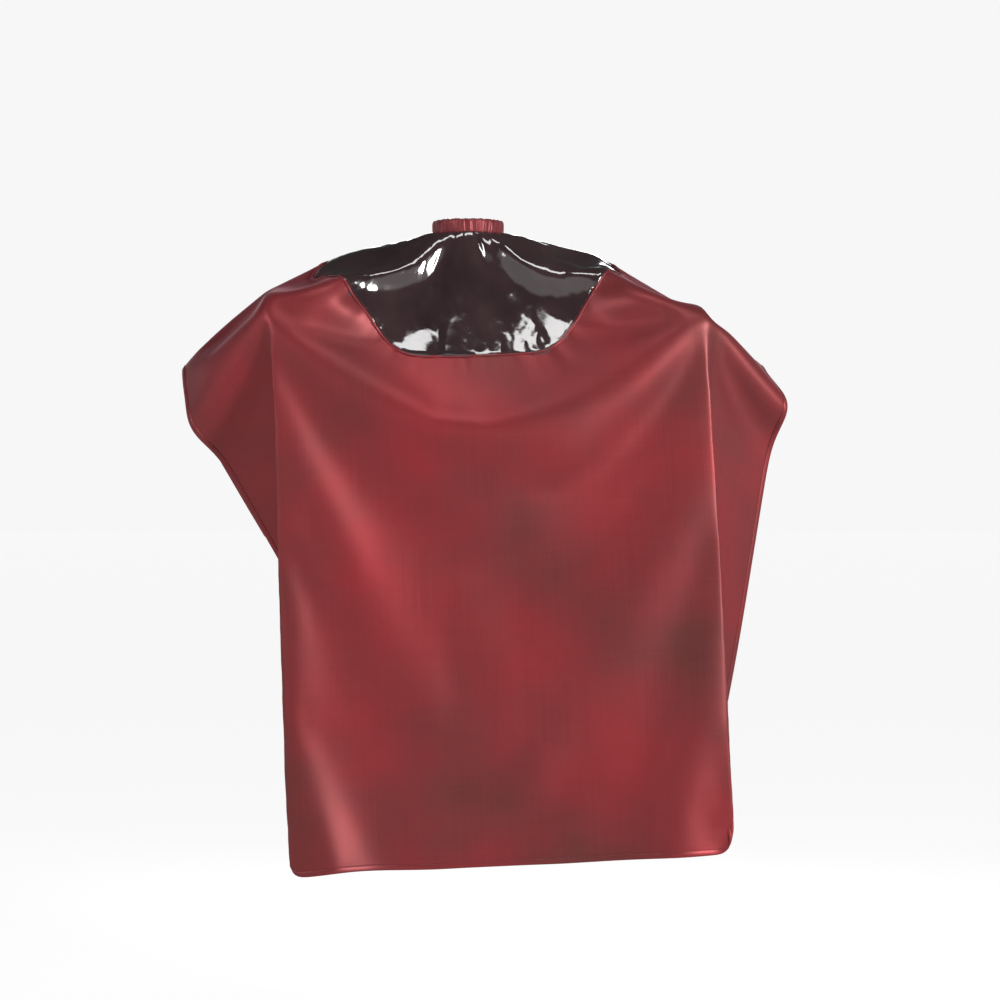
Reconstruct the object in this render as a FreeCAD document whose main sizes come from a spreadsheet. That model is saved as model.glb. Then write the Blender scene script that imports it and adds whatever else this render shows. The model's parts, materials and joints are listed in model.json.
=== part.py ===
import FreeCAD, Part

import math
import os
import Sketcher

# Barber cape, worn: a vinyl yoke and a nylon body that hang from a snap-closed neckband.
# The origin is the middle of the neck opening, the front faces -Y and +Z is up.  Millimetres and degrees.

PARTS = "parts"
os.makedirs(PARTS, exist_ok=True)
doc = FreeCAD.newDocument("barber_cape")
sheet = doc.addObject("Spreadsheet::Sheet", "dims")

SIZES = {
    # neckband: three layers round a cylinder
    "neck_radius": 58.0,
    "lining_wall": 0.6,
    "core_wall": 0.7,
    "outer_wall": 0.5,
    "band_height": 24.0,
    "core_height": 20.0,
    "slit_gap": 0.5,
    "elastic_start": 165.0,
    "elastic_end": 375.0,
    "layer_gap_angle": 0.5,
    # overlap tab
    "tab_start": 90.6,
    "tab_angle": 44.0,
    "tab_standoff": 3.0,
    "tab_height": 20.0,
    "tab_lining_height": 18.0,
    "root_angle": 4.0,
    # press snaps
    "snap_first": 14.0,
    "snap_pitch": 18.0,
    "cap_radius": 6.0,
    "cap_height": 1.6,
    "cap_tube_radius": 2.0,
    "socket_radius": 5.0,
    "socket_height": 1.8,
    "socket_hole": 2.9,
    "socket_lift": 0.25,
    "spring_radius": 2.75,
    "spring_wire": 0.18,
    "stud_base_radius": 4.2,
    "stud_base_height": 0.6,
    "stud_neck_radius": 1.6,
    "stud_head_radius": 1.9,
    "stud_height": 2.2,
    "post_radius": 4.0,
    "stem_radius": 1.1,
    "hole_slack": 0.1,
    # cloth
    "cloth_wall": 1.5,
    "hem_width": 9.0,
    "tape_width": 10.0,
    "placket_width": 12.0,
    "fold_plane": -20.0,
    "reach": 400.0,
    "over_top": 40.0,
}

# Level of each horizontal ring of the draped shape: height, half width, half depth, middle in X, middle in Y.
RINGS = {
    "neck": (-12.0, 60.0, 60.0, 0.0, 0.0),
    "collar": (-32.0, 120.0, 88.0, 0.0, -5.0),
    "shoulder": (-68.0, 262.0, 122.0, 0.0, -12.0),
    "arm": (-105.0, 348.0, 150.0, -2.0, -25.0),
    "forearm": (-160.0, 436.0, 178.0, 6.0, -40.0),
    "elbow": (-250.0, 522.0, 195.0, 12.0, -45.0),
    "waist": (-560.0, 500.0, 200.0, 30.0, -48.0),
    "foot": (-1120.0, 480.0, 205.0, 78.0, -50.0),
}
RING_KEYS = ("level", "half", "deep", "side", "fore")

# Corners of the panels seen from the front: X and Z.
POINTS = {
    "yoke_left": (-276.0, -66.0),
    "yoke_right": (276.0, -70.0),
    "seam_left": (-110.0, -214.0),
    "seam_right": (141.0, -214.0),
    "back_seam_left": (-118.0, -190.0),
    "back_seam_right": (118.0, -190.0),
    "left_fold": (-318.0, -120.0),
    "left_fold_low": (-311.0, -560.0),
    "left_corner": (-292.0, -1093.0),
    "hem_middle": (60.0, -1074.0),
    "right_corner": (450.0, -1046.0),
    "right_fold_low": (442.0, -870.0),
    "right_fold": (411.0, -150.0),
    "left_wing_low": (-334.0, -560.0),
    "left_tip": (-508.0, -246.0),
    "left_out": (-600.0, -150.0),
    "right_wing_low": (458.0, -870.0),
    "right_wing_bend": (484.0, -600.0),
    "right_tip": (534.0, -275.0),
    "right_out": (620.0, -150.0),
    "back_seam_middle": (0.0, -190.0),
    "back_hem_middle": (0.0, -262.0),
    "back_hem_left": (-200.0, -296.0),
    "back_hem_right": (200.0, -296.0),
    "back_corner_left": (-392.0, -428.0),
    "back_corner_right": (400.0, -428.0),
}


def fill_sheet():
    values = dict(SIZES)
    for ring, numbers in RINGS.items():
        for key, number in zip(RING_KEYS, numbers):
            values[f"{ring}_{key}"] = number
    for point, (across, up) in POINTS.items():
        values[f"{point}_x"] = across
        values[f"{point}_z"] = up
    for row, (alias, number) in enumerate(values.items(), start=1):
        sheet.set(f"A{row}", alias)
        sheet.set(f"B{row}", str(number))
        sheet.setAlias(f"B{row}", alias)
    doc.recompute()


def size(alias):
    return float(sheet.get(alias))


fill_sheet()

BAND_RADIUS = size("neck_radius") + size("lining_wall") + size("core_wall") + size("outer_wall")
PIECES = []


def keep(piece, label):
    """Names a finished piece; its label is its file name."""
    piece.Label = label
    PIECES.append(piece)
    return piece


def bind(piece, **sizes):
    for name, expression in sizes.items():
        piece.setExpression(name, expression)


def plane(body, role):
    return next(f for f in body.Origin.OriginFeatures if f.Role == role)


def closed_sketch(sketch, corners):
    """Draws a closed outline whose corners are pairs of expressions, with their starting values."""
    starts = [FreeCAD.Vector(x, y, 0) for (_, x), (_, y) in corners]
    count = len(starts)
    for i in range(count):
        sketch.addGeometry(Part.LineSegment(starts[i], starts[(i + 1) % count]), False)
    for i in range(count):
        sketch.addConstraint(Sketcher.Constraint("Coincident", i, 2, (i + 1) % count, 1))
    for i, ((across, x), (up, y)) in enumerate(corners):
        for kind, expression, number in (("DistanceX", across, x), ("DistanceY", up, y)):
            index = sketch.addConstraint(Sketcher.Constraint(kind, -1, 1, i, 1, number))
            sketch.setExpression(f"Constraints[{index}]", expression)


# ---------------------------------------------------------------- cloth


def ring_sketch(label, ring, layers):
    """One horizontal ellipse of the draped shape, moved in by a number of cloth layers."""
    drop = 0 if ring == "neck" else layers
    sketch = doc.addObject("Sketcher::SketchObject", f"{label}_{ring}")
    wall = layers * size("cloth_wall")
    half = size(f"{ring}_half") - wall
    deep = size(f"{ring}_deep") - wall
    centre = FreeCAD.Vector(size(f"{ring}_side"), size(f"{ring}_fore"), 0)
    if ring == "neck":
        index = sketch.addGeometry(Part.Circle(centre, FreeCAD.Vector(0, 0, 1), half), False)
        radius = sketch.addConstraint(Sketcher.Constraint("Radius", index, half))
        sketch.setExpression(f"Constraints[{radius}]", f"dims.neck_half - {layers} * dims.cloth_wall")
    else:
        right = centre + FreeCAD.Vector(half, 0, 0)
        far = centre + FreeCAD.Vector(0, deep, 0)
        index = sketch.addGeometry(Part.Ellipse(right, far, centre), False)
        sketch.exposeInternalGeometry(index)
        for line, reach in ((index + 1, f"{ring}_half"), (index + 2, f"{ring}_deep")):
            span = 2 * (size(reach) - wall)
            length = sketch.addConstraint(Sketcher.Constraint("Distance", line, 1, line, 2, span))
            sketch.setExpression(
                f"Constraints[{length}]", f"2 * (dims.{reach} - {layers} * dims.cloth_wall)"
            )
        sketch.addConstraint(Sketcher.Constraint("Horizontal", index + 1))
    for kind, key, number in (("DistanceX", "side", centre.x), ("DistanceY", "fore", centre.y)):
        place = sketch.addConstraint(Sketcher.Constraint(kind, -1, 1, index, 3, number))
        sketch.setExpression(f"Constraints[{place}]", f"dims.{ring}_{key}")
    bind(sketch, **{"Placement.Base.z": f"dims.{ring}_level - {drop} * dims.cloth_wall"})
    return sketch


def draped_solid(label, layers):
    loft = doc.addObject("Part::Loft", label)
    loft.Sections = [ring_sketch(label, ring, layers) for ring in RINGS]
    loft.Solid = True
    loft.Ruled = True
    return loft


def shell(label, outer, inner):
    cut = doc.addObject("Part::Cut", label)
    cut.Base = outer
    cut.Tool = inner
    return cut


def corner(entry):
    """A named point, or a point with multiples of a width added: (name, dx, dz, width alias)."""
    name, across, up, width = entry if isinstance(entry, tuple) else (entry, 0, 0, "hem_width")
    if name.startswith("top:"):
        name = name[4:]
        high = ("dims.over_top", size("over_top"))
    else:
        high = (
            f"dims.{name}_z + {up} * dims.{width}",
            size(f"{name}_z") + up * size(width),
        )
    wide = (
        f"dims.{name}_x + {across} * dims.{width}",
        size(f"{name}_x") + across * size(width),
    )
    return wide, high


def region(label, corners, back):
    """A prism over an outline seen from the front, reaching forward or back from the fold plane."""
    sketch = doc.addObject("Sketcher::SketchObject", f"{label}_outline")
    sketch.Placement = FreeCAD.Placement(
        FreeCAD.Vector(0, 0, 0), FreeCAD.Rotation(FreeCAD.Vector(1, 0, 0), 90)
    )
    closed_sketch(sketch, [corner(entry) for entry in corners])
    bind(sketch, **{"Placement.Base.y": "dims.fold_plane"})
    prism = doc.addObject("Part::Extrusion", f"{label}_region")
    prism.Base = sketch
    prism.DirMode = "Custom"
    prism.Dir = FreeCAD.Vector(0, 1 if back else -1, 0)
    prism.Solid = True
    bind(prism, LengthFwd="dims.reach")
    return prism


def cloth_piece(label, skin, corners, back=False):
    piece = doc.addObject("Part::Common", label)
    piece.Base = skin
    piece.Tool = region(label, corners, back)
    return keep(piece, label)


def cloth_pieces():
    over = draped_solid("drape_outer", 0)
    under = draped_solid("drape_inner", 1)
    lining = draped_solid("drape_lining", 2)
    single = shell("single_layer", over, under)
    double = shell("double_layer", over, lining)
    inside = shell("inside_layer", under, lining)

    def up(name):
        return (name, 0, 1, "hem_width")

    cloth_piece(
        "yoke_front",
        single,
        ["top:yoke_left", "yoke_left", "seam_left", "seam_right", "yoke_right", "top:yoke_right"],
    )
    cloth_piece(
        "body_front",
        single,
        [
            "top:left_fold", "left_fold", "left_fold_low", up("left_corner"), up("hem_middle"),
            up("right_corner"), "right_fold_low", "right_fold", "top:right_fold", "top:yoke_right",
            "yoke_right", "seam_right", "seam_left", "yoke_left", "top:yoke_left",
        ],
    )
    cloth_piece(
        "front_hem",
        double,
        ["left_corner", "hem_middle", "right_corner",
         up("right_corner"), up("hem_middle"), up("left_corner")],
    )
    slant = ("left_wing_low", -0.2, 1.6, "hem_width"), ("left_tip", 0.5, 1.6, "hem_width")
    cloth_piece(
        "body_left_side",
        single,
        ["top:left_fold", "left_fold", "left_fold_low", *slant, "left_out", "top:left_out"],
    )
    cloth_piece(
        "left_side_hem",
        double,
        ["left_fold_low", "left_wing_low", "left_tip", "left_out", slant[1], slant[0]],
    )
    inner_edge = [
        ("right_tip", -1, 0, "hem_width"),
        ("right_wing_bend", -1, 0, "hem_width"),
        ("right_wing_low", -1, 0, "hem_width"),
    ]
    cloth_piece(
        "body_right_side",
        single,
        ["top:right_fold", "top:right_out", "right_out", *inner_edge, "right_fold_low", "right_fold"],
    )
    cloth_piece(
        "right_side_hem",
        double,
        [*inner_edge[::-1], "right_out", "right_tip", "right_wing_bend", "right_wing_low"],
    )
    cloth_piece(
        "yoke_seam_tape_front",
        inside,
        [
            (name, 0, side, "tape_width")
            for side, names in (
                (0.5, ("yoke_left", "seam_left", "seam_right", "yoke_right")),
                (-0.5, ("yoke_right", "seam_right", "seam_left", "yoke_left")),
            )
            for name in names
        ],
    )
    for side, sign in (("left", -1), ("right", 1)):
        back_half(side, sign, single, double, inside)


def back_half(side, sign, single, double, inside):
    """One half of the back: the two halves part along the middle, where the cape opens."""
    yoke, seam = f"yoke_{side}", f"back_seam_{side}"
    hem, low, tip, out = f"back_hem_{side}", f"back_corner_{side}", f"{side}_tip", f"{side}_out"
    open_edge = 0.02 * sign
    bound = sign

    def middle(across, up=0, width="hem_width"):
        return ("back_hem_middle", across, up, width)

    def inward(name, across, up):
        return (name, across, up, "hem_width")

    def at_neck(across):
        return ("top:back_hem_middle", across, 0, "placket_width")

    inset_low = inward(low, -0.7 * sign, 1.1)
    inset_tip = inward(tip, -0.6 * sign, 1.4)
    cloth_piece(
        f"yoke_back_{side}",
        single,
        [at_neck(bound), ("back_seam_middle", bound, 0, "placket_width"), seam, yoke, f"top:{yoke}"],
        back=True,
    )
    cloth_piece(
        f"body_back_{side}",
        single,
        [
            ("back_seam_middle", bound, 0, "placket_width"),
            middle(bound, 0.75, "placket_width"),
            inward(hem, 0, 1),
            inset_low,
            inset_tip,
            out,
            f"top:{out}",
            f"top:{yoke}",
            yoke,
            seam,
        ],
        back=True,
    )
    cloth_piece(
        f"back_hem_{side}",
        double,
        [
            middle(bound, 0, "placket_width"),
            hem,
            low,
            tip,
            out,
            inset_tip,
            inset_low,
            inward(hem, 0, 1),
            middle(bound, 0.75, "placket_width"),
        ],
        back=True,
    )
    cloth_piece(
        f"back_placket_{side}",
        double,
        [
            at_neck(open_edge),
            middle(open_edge, 0, "placket_width"),
            middle(bound, 0, "placket_width"),
            at_neck(bound),
        ],
        back=True,
    )
    tape_ends = (("back_seam_middle", bound), (seam, 0), (yoke, 0))
    cloth_piece(
        f"yoke_seam_tape_back_{side}",
        inside,
        [(name, across, 0.4, "placket_width") for name, across in tape_ends]
        + [(name, across, -0.4, "placket_width") for name, across in tape_ends[::-1]],
        back=True,
    )


# ---------------------------------------------------------------- neckband


def turned(label, corners, start, angle):
    """Turns an outline in the XZ plane about Z, from a starting angle counted from +X."""
    body = doc.addObject("PartDesign::Body", label)
    sketch = body.newObject("Sketcher::SketchObject", f"{label}_section")
    sketch.AttachmentSupport = [(plane(body, "XZ_Plane"), "")]
    sketch.MapMode = "FlatFace"
    closed_sketch(sketch, corners)
    turn = body.newObject("PartDesign::Revolution", f"{label}_turn")
    turn.Profile = sketch
    turn.ReferenceAxis = (plane(body, "Z_Axis"), [""])
    bind(turn, Angle=angle)
    bind(body, **{"Placement.Rotation.Yaw": start})
    return body


def radius_at(*walls):
    expression = " + ".join(["dims.neck_radius", *(f"dims.{wall}" for wall in walls)])
    number = size("neck_radius") + sum(size(wall) for wall in walls)
    return expression, number


def box_section(inner, outer, height):
    low = (f"-dims.{height} / 2", -size(height) / 2)
    high = (f"dims.{height} / 2", size(height) / 2)
    return [(inner, low), (outer, low), (outer, high), (inner, high)]


def radial_hole(label, radius, index):
    """A cutter along the radius at one snap."""
    cutter = doc.addObject("Part::Cylinder", label)
    bind(cutter, Radius=radius, Height="2 * dims.neck_radius")
    cutter.Placement = FreeCAD.Placement(FreeCAD.Vector(0, 0, 0), radial_rotation(snap_angle(index)))
    return cutter


def radial_rotation(angle):
    """Turns local Z to point outward at an angle from +X."""
    tip = FreeCAD.Rotation(FreeCAD.Vector(0, 1, 0), 90)
    return FreeCAD.Rotation(FreeCAD.Vector(0, 0, 1), angle) * tip


def snap_angle(index):
    """Where a snap sits, from +X: the first is snap_first past the opening, the others a pitch apart."""
    return 90 + math.degrees((size("snap_first") + index * size("snap_pitch")) / BAND_RADIUS)


def pierced(label, base, cutters):
    """Cuts the snaps' holes through a layer of cloth."""
    base.Label = f"{label}_plain"
    drill = doc.addObject("Part::MultiFuse", f"{label}_cutters")
    drill.Shapes = cutters
    cut = doc.addObject("Part::Cut", label)
    cut.Base = base
    cut.Tool = drill
    return keep(cut, label)


STUDS = range(4)
SOCKETS = range(2)


def snap_holes(label, radius, indexes):
    return [radial_hole(f"{label}_hole_{i + 1}", radius, i) for i in indexes]


def neckband():
    inside = radius_at()
    lining = radius_at("lining_wall")
    core = radius_at("lining_wall", "core_wall")
    outside = radius_at("lining_wall", "core_wall", "outer_wall")
    whole = "360 - dims.layer_gap_angle"
    opening = "90 + dims.layer_gap_angle"
    keep(turned("neckband_lining", box_section(inside, lining, "band_height"), opening, whole),
         "neckband_lining")
    cover = turned("neckband_cover", box_section(core, outside, "band_height"), opening, whole)
    stem = "dims.stem_radius + dims.hole_slack"
    pierced("neckband_outer", cover, snap_holes("outer", stem, STUDS))
    keep(
        turned(
            "neckband_elastic",
            box_section(lining, core, "core_height"),
            "dims.elastic_start",
            "dims.elastic_end - dims.elastic_start",
        ),
        "neckband_elastic",
    )
    stay = turned(
        "stay_left",
        box_section(lining, core, "core_height"),
        opening,
        "dims.elastic_start - 90 - 2 * dims.layer_gap_angle",
    )
    post = "dims.post_radius + dims.hole_slack"
    pierced("stay_tape_left", stay, snap_holes("stay", post, STUDS))
    keep(
        turned(
            "stay_tape_right",
            box_section(lining, core, "core_height"),
            "dims.elastic_end - 360 + dims.layer_gap_angle",
            "450 - dims.elastic_end - dims.layer_gap_angle",
        ),
        "stay_tape_right",
    )


def tab_radius(*walls):
    expression, number = radius_at("lining_wall", "core_wall", "outer_wall", "tab_standoff", *walls)
    return expression, number


def closure_tab():
    """The end of the neckband that crosses the back opening, and the folded root it is sewn to."""
    outside = radius_at("lining_wall", "core_wall", "outer_wall")
    face = tab_radius()
    middle = tab_radius("lining_wall")
    back = tab_radius("lining_wall", "outer_wall")
    keep(
        turned(
            "closure_tab_root",
            box_section(outside, back, "tab_height"),
            "90 - dims.root_angle",
            "dims.root_angle",
        ),
        "closure_tab_root",
    )
    tube = "dims.cap_tube_radius + dims.hole_slack"
    inner = turned("tab_inner", box_section(face, middle, "tab_lining_height"),
                   "dims.tab_start", "dims.tab_angle - 1")
    pierced("closure_tab_lining", inner, snap_holes("tab_inner", tube, SOCKETS))
    outer = turned("tab_outer", box_section(middle, back, "tab_height"),
                   "dims.tab_start", "dims.tab_angle")
    pierced("closure_tab_outer", outer, snap_holes("tab_outer", tube, SOCKETS))


# ---------------------------------------------------------------- press snaps


def along_radius(piece, index, radius):
    """Stands a snap piece on the band: its local Z points outward and its foot is at the radius."""
    rotation = radial_rotation(snap_angle(index))
    piece.Placement = FreeCAD.Placement(rotation.multVec(FreeCAD.Vector(0, 0, radius)), rotation)


def lathe(label, profile, index, radius):
    """A round snap piece turned from (radius, height) corners given as expressions with numbers."""
    body = doc.addObject("PartDesign::Body", label)
    sketch = body.newObject("Sketcher::SketchObject", f"{label}_section")
    sketch.AttachmentSupport = [(plane(body, "XZ_Plane"), "")]
    sketch.MapMode = "FlatFace"
    closed_sketch(sketch, profile)
    turn = body.newObject("PartDesign::Revolution", f"{label}_turn")
    turn.Profile = sketch
    turn.ReferenceAxis = (plane(body, "Z_Axis"), [""])
    turn.Angle = 360
    along_radius(body, index, radius)
    return keep(body, label)


def sized(alias, factor=1.0):
    return f"{factor} * dims.{alias}", factor * size(alias)


ZERO = ("0", 0.0)


def plus(*terms):
    return " + ".join(f"({expression})" for expression, _ in terms), sum(number for _, number in terms)


def snap_cap(index):
    """A shallow domed cap whose tube goes through both tab layers to the socket."""
    seat = tab_radius("lining_wall", "outer_wall")[1]
    root = sized("lining_wall", -1)
    deep = plus(root, sized("outer_wall", -1))
    profile = [
        (ZERO, deep),
        (sized("cap_tube_radius"), deep),
        (sized("cap_tube_radius"), ZERO),
        (sized("cap_radius", 0.92), ZERO),
        (sized("cap_radius"), sized("cap_height", 0.25)),
        (sized("cap_radius", 0.94), sized("cap_height", 0.6)),
        (sized("cap_radius", 0.7), sized("cap_height", 0.88)),
        (sized("cap_radius", 0.35), sized("cap_height", 0.98)),
        (ZERO, sized("cap_height")),
    ]
    lathe(f"snap_cap_{index + 1}", profile, index, seat)


def snap_socket(index):
    """The ring that the stud's head enters, with a groove for the spring."""
    seat = tab_radius()[1] - size("socket_height") - size("socket_lift")
    rim = ("dims.spring_radius + dims.spring_wire + dims.hole_slack",
           size("spring_radius") + size("spring_wire") + size("hole_slack"))
    profile = [
        (sized("socket_hole"), ZERO),
        (sized("socket_radius", 0.9), ZERO),
        (sized("socket_radius"), sized("socket_height", 0.3)),
        (sized("socket_radius"), sized("socket_height")),
        (rim, sized("socket_height")),
        (rim, sized("socket_height", 0.8)),
        (sized("socket_hole"), sized("socket_height", 0.8)),
    ]
    lathe(f"snap_socket_{index + 1}", profile, index, seat)


def snap_stud(index):
    """A flanged stud: base on the band, narrow neck, rounded head, and a stem through the cover."""
    seat = BAND_RADIUS
    foot = sized("outer_wall", -1)
    head = sized("stud_height")
    profile = [
        (ZERO, foot),
        (sized("stem_radius"), foot),
        (sized("stem_radius"), ZERO),
        (sized("stud_base_radius", 0.94), ZERO),
        (sized("stud_base_radius"), sized("stud_base_height", 0.6)),
        (sized("stud_neck_radius"), sized("stud_base_height")),
        (sized("stud_neck_radius"), sized("stud_height", 0.5)),
        (sized("stud_head_radius"), sized("stud_height", 0.68)),
        (sized("stud_head_radius"), sized("stud_height", 0.84)),
        (sized("stud_head_radius", 0.6), head),
        (ZERO, head),
    ]
    lathe(f"snap_stud_{index + 1}", profile, index, seat)


def snap_spring(index):
    """The round wire ring that lies in the socket's mouth."""
    ring = doc.addObject("Part::Torus", f"snap_spring_{index + 1}")
    bind(ring, Radius1="dims.spring_radius", Radius2="dims.spring_wire")
    along_radius(ring, index, tab_radius()[1] - size("socket_lift") - 0.1 * size("socket_height"))
    keep(ring, f"snap_spring_{index + 1}")


def snap_post(index):
    """The stud's back plate, curved with the band and hidden between lining and cover."""
    label = f"snap_post_{index + 1}"
    ring = turned(
        f"post_layer_{index + 1}",
        box_section(
            radius_at("lining_wall"), radius_at("lining_wall", "core_wall"), "core_height"
        ),
        "90 + dims.layer_gap_angle",
        "180",
    )
    disc = radial_hole(f"post_disc_{index + 1}", "dims.post_radius", index)
    plate = doc.addObject("Part::Common", label)
    plate.Base = ring
    plate.Tool = disc
    keep(plate, label)


def press_snaps():
    for index in SOCKETS:
        snap_cap(index)
        snap_socket(index)
        snap_spring(index)
    for index in STUDS:
        snap_stud(index)
        snap_post(index)


def check_and_export():
    doc.recompute()
    for item in doc.Objects:
        if any(state in item.State for state in ("Invalid", "Error")):
            raise RuntimeError(f"{item.Label}: {item.State}")
    for piece in PIECES:
        shape = piece.Shape
        if shape.isNull() or not shape.isValid() or not shape.Solids:
            raise RuntimeError(f"{piece.Label}: bad shape")
        shape.exportStep(os.path.join(PARTS, f"{piece.Label}.step"))
        box = shape.BoundBox
        print(
            f"{piece.Label:28s} {len(shape.Solids)} solid {shape.Volume:10.1f} mm3"
            f"  x {box.XMin:7.1f} {box.XMax:7.1f}  y {box.YMin:7.1f} {box.YMax:7.1f}"
            f"  z {box.ZMin:7.1f} {box.ZMax:7.1f}"
        )
    print(len(PIECES), "pieces")


cloth_pieces()
neckband()
closure_tab()
press_snaps()
check_and_export()
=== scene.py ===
"""A barber cape as it is worn: nylon body, vinyl yoke, gathered neckband and a snap tab."""

import json
import math

import bmesh
import bpy
import numpy as np
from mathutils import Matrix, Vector, geometry, noise
from mathutils.bvhtree import BVHTree


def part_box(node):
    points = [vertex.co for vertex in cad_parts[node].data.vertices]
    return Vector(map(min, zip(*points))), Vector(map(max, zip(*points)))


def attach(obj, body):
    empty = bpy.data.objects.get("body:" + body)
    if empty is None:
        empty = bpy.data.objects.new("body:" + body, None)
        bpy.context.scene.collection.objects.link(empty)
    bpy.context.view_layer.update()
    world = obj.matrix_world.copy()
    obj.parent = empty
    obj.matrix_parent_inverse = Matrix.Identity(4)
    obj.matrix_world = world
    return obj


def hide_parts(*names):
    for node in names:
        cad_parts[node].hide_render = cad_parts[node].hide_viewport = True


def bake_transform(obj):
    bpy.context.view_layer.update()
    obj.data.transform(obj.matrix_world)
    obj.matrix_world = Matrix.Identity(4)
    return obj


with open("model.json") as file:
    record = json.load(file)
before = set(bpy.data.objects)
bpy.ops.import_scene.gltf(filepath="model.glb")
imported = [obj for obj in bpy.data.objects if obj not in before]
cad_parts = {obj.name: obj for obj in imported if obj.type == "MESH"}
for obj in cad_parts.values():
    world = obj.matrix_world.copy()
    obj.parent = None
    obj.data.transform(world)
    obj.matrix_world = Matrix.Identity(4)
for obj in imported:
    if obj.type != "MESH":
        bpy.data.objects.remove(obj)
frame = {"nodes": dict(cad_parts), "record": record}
scene = bpy.context.scene
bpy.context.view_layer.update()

CAPE, TAB = "cape", "closure_tab"
BORE = frame["record"]["mounts"][0]["dims"]
NECK_RADIUS = BORE["r_mm"] / 1000
BAND_HALF = BORE["length_mm"] / 2000
BAND_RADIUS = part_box("neckband_outer")[1].x

# the flat cut, in metres: u runs to the wearer's left, v to the wearer's back
CUT_LEFT, CUT_RIGHT = -0.59, 0.61
CUT_FRONT, CUT_BACK = -1.16, 0.34
SLIT = 0.001
NECK_CUT = 0.060
YOKE_CUT = [
    (-0.001, 0.20), (-0.125, 0.20), (-0.29, -0.085), (-0.118, -0.290),
    (0.145, -0.290), (0.29, -0.085), (0.125, 0.20), (0.001, 0.20),
]
HEM_WIDTH, HEM_LIFT = 0.0095, 0.0010
# triangles of the falling cloth, and squares of the smooth grid that is taken from it
CELL = 0.0175
GRID = 0.006

# the kinks where the wings turn behind the front panel, and the cloth's directions beyond them:
# out at the front, out at the back, and down
LEFT_KINK, RIGHT_KINK = -0.354, 0.415
LEFT_WING = ((0.72, 0.536, -0.44), (0.85, -0.05, -0.52), (-0.46, 0.0, -0.888))
RIGHT_WING = ((0.66, 0.61, -0.43), (0.95, -0.03, -0.30), (-0.20, 0.0, -0.98))
# how the cloth goes over the shoulders: set back, way to the turn, half the turn, slope in degrees before
# and after it; down the front the turn is moved from there so that the hem comes level at HEM_HEIGHT
FRONT_MIDDLE = (0.0, 0.085, 0.035, 0.0, 81.5)
FRONT_LEFT = (0.035, 0.215, 0.05, 5.0, 88.0)
FRONT_RIGHT = (0.050, 0.260, 0.05, 5.0, 88.0)
BACK_MIDDLE = (0.0, 0.11, 0.045, 0.0, 84.0)
BACK_LEFT = (0.035, 0.11, 0.05, 5.0, 85.0)
BACK_RIGHT = (0.050, 0.11, 0.05, 5.0, 85.0)
RIDGE_SLOPE = 0.27
TURN_SLACK = 0.27
WING_LIFT = 0.06
HEM_HEIGHT, LEFT_DROP = -1.068, 0.012
TOP_WIDTH, HEM_SHARE = 0.955, 0.987
PANEL_TURN = math.radians(2.4)
# how firmly the panel and the wings are held, and how far down that begins and is whole
PANEL_HOLD, LEFT_HOLD, RIGHT_HOLD = 0.006, 0.5, 0.3
HOLD_FROM, HOLD_WHOLE = 0.26, 0.45
# soft folds the cloth starts with: from, to, half width, height, in the flat cut
SOFT_FOLDS = [
    ((-0.33, -0.10), (0.02, -0.62), 0.060, 0.016),
    ((-0.10, -0.50), (0.10, -1.10), 0.050, 0.012),
    ((0.36, -0.12), (0.10, -0.55), 0.060, 0.022),
    ((0.24, -0.42), (0.30, -1.10), 0.085, 0.022),
]
FRAMES = 50

CORNER_SHARPNESS = 24
BACK = math.pi / 2
SEAM_ALLOWANCE = 0.008
NYLON_WALL = 0.0004
VINYL_WALL = 0.0006
VINYL_LIFT = 0.0012
YOKE_TOP = -BAND_HALF + 0.002
# rows of stitches: in from the hem's inner edge, and inside the yoke's seam
HEM_ROW, SEAM_ROW = 0.0016, 0.0042
# heights of the puckers in the nylon and of the creases in the vinyl, and how far the puckers reach
NYLON_PUCKER, PUCKER_REACH = 0.0017, 0.022
GATHER, LONG_FOLD, CRUMPLE, VINYL_PUCKER = 0.0016, 0.0030, 0.0017, 0.0013


def smoothstep(low, high, x):
    t = np.clip((x - low) / (high - low), 0.0, 1.0)
    return t * t * (3 - 2 * t)


def in_scene(name, data):
    """A new object in the scene for this mesh, lamp or camera."""
    made = bpy.data.objects.new(name, data)
    scene.collection.objects.link(made)
    return made


def new_object(name, points, faces):
    mesh = bpy.data.meshes.new(name)
    mesh.from_pydata([tuple(p) for p in points], [], [tuple(int(i) for i in f) for f in faces])
    mesh.update()
    return in_scene(name, mesh)


def apply_modifiers(target):
    """Keeps the evaluated mesh and drops the modifiers."""
    graph = bpy.context.evaluated_depsgraph_get()
    final = bpy.data.meshes.new_from_object(target.evaluated_get(graph))
    target.modifiers.clear()
    target.data = final


def points_of(mesh):
    flat = np.zeros(len(mesh.vertices) * 3)
    mesh.vertices.foreach_get("co", flat)
    return flat.reshape(-1, 3)


# ---------------------------------------------------------------- drape


def capsule(a, b, radius_a, radius_b):
    """A limb from a to b, as round as its two ends."""
    a, b = Vector(a), Vector(b)
    rings, sides = 10, 20
    shape = bmesh.new()
    for centre, radius in ((a, radius_a), (b, radius_b)):
        for i in range(rings):
            tilt = math.pi * i / (rings - 1)
            level = math.sin(tilt)
            for j in range(sides):
                turn = 2 * math.pi * j / sides
                out = Vector((level * math.cos(turn), level * math.sin(turn), math.cos(tilt)))
                shape.verts.new(centre + radius * out)
    hull = bmesh.ops.convex_hull(shape, input=shape.verts)
    inside = [e for e in hull["geom_interior"] if isinstance(e, bmesh.types.BMVert)]
    bmesh.ops.delete(shape, geom=inside, context="VERTS")
    mesh = bpy.data.meshes.new("limb")
    shape.to_mesh(mesh)
    shape.free()
    return in_scene("limb", mesh)


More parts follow.
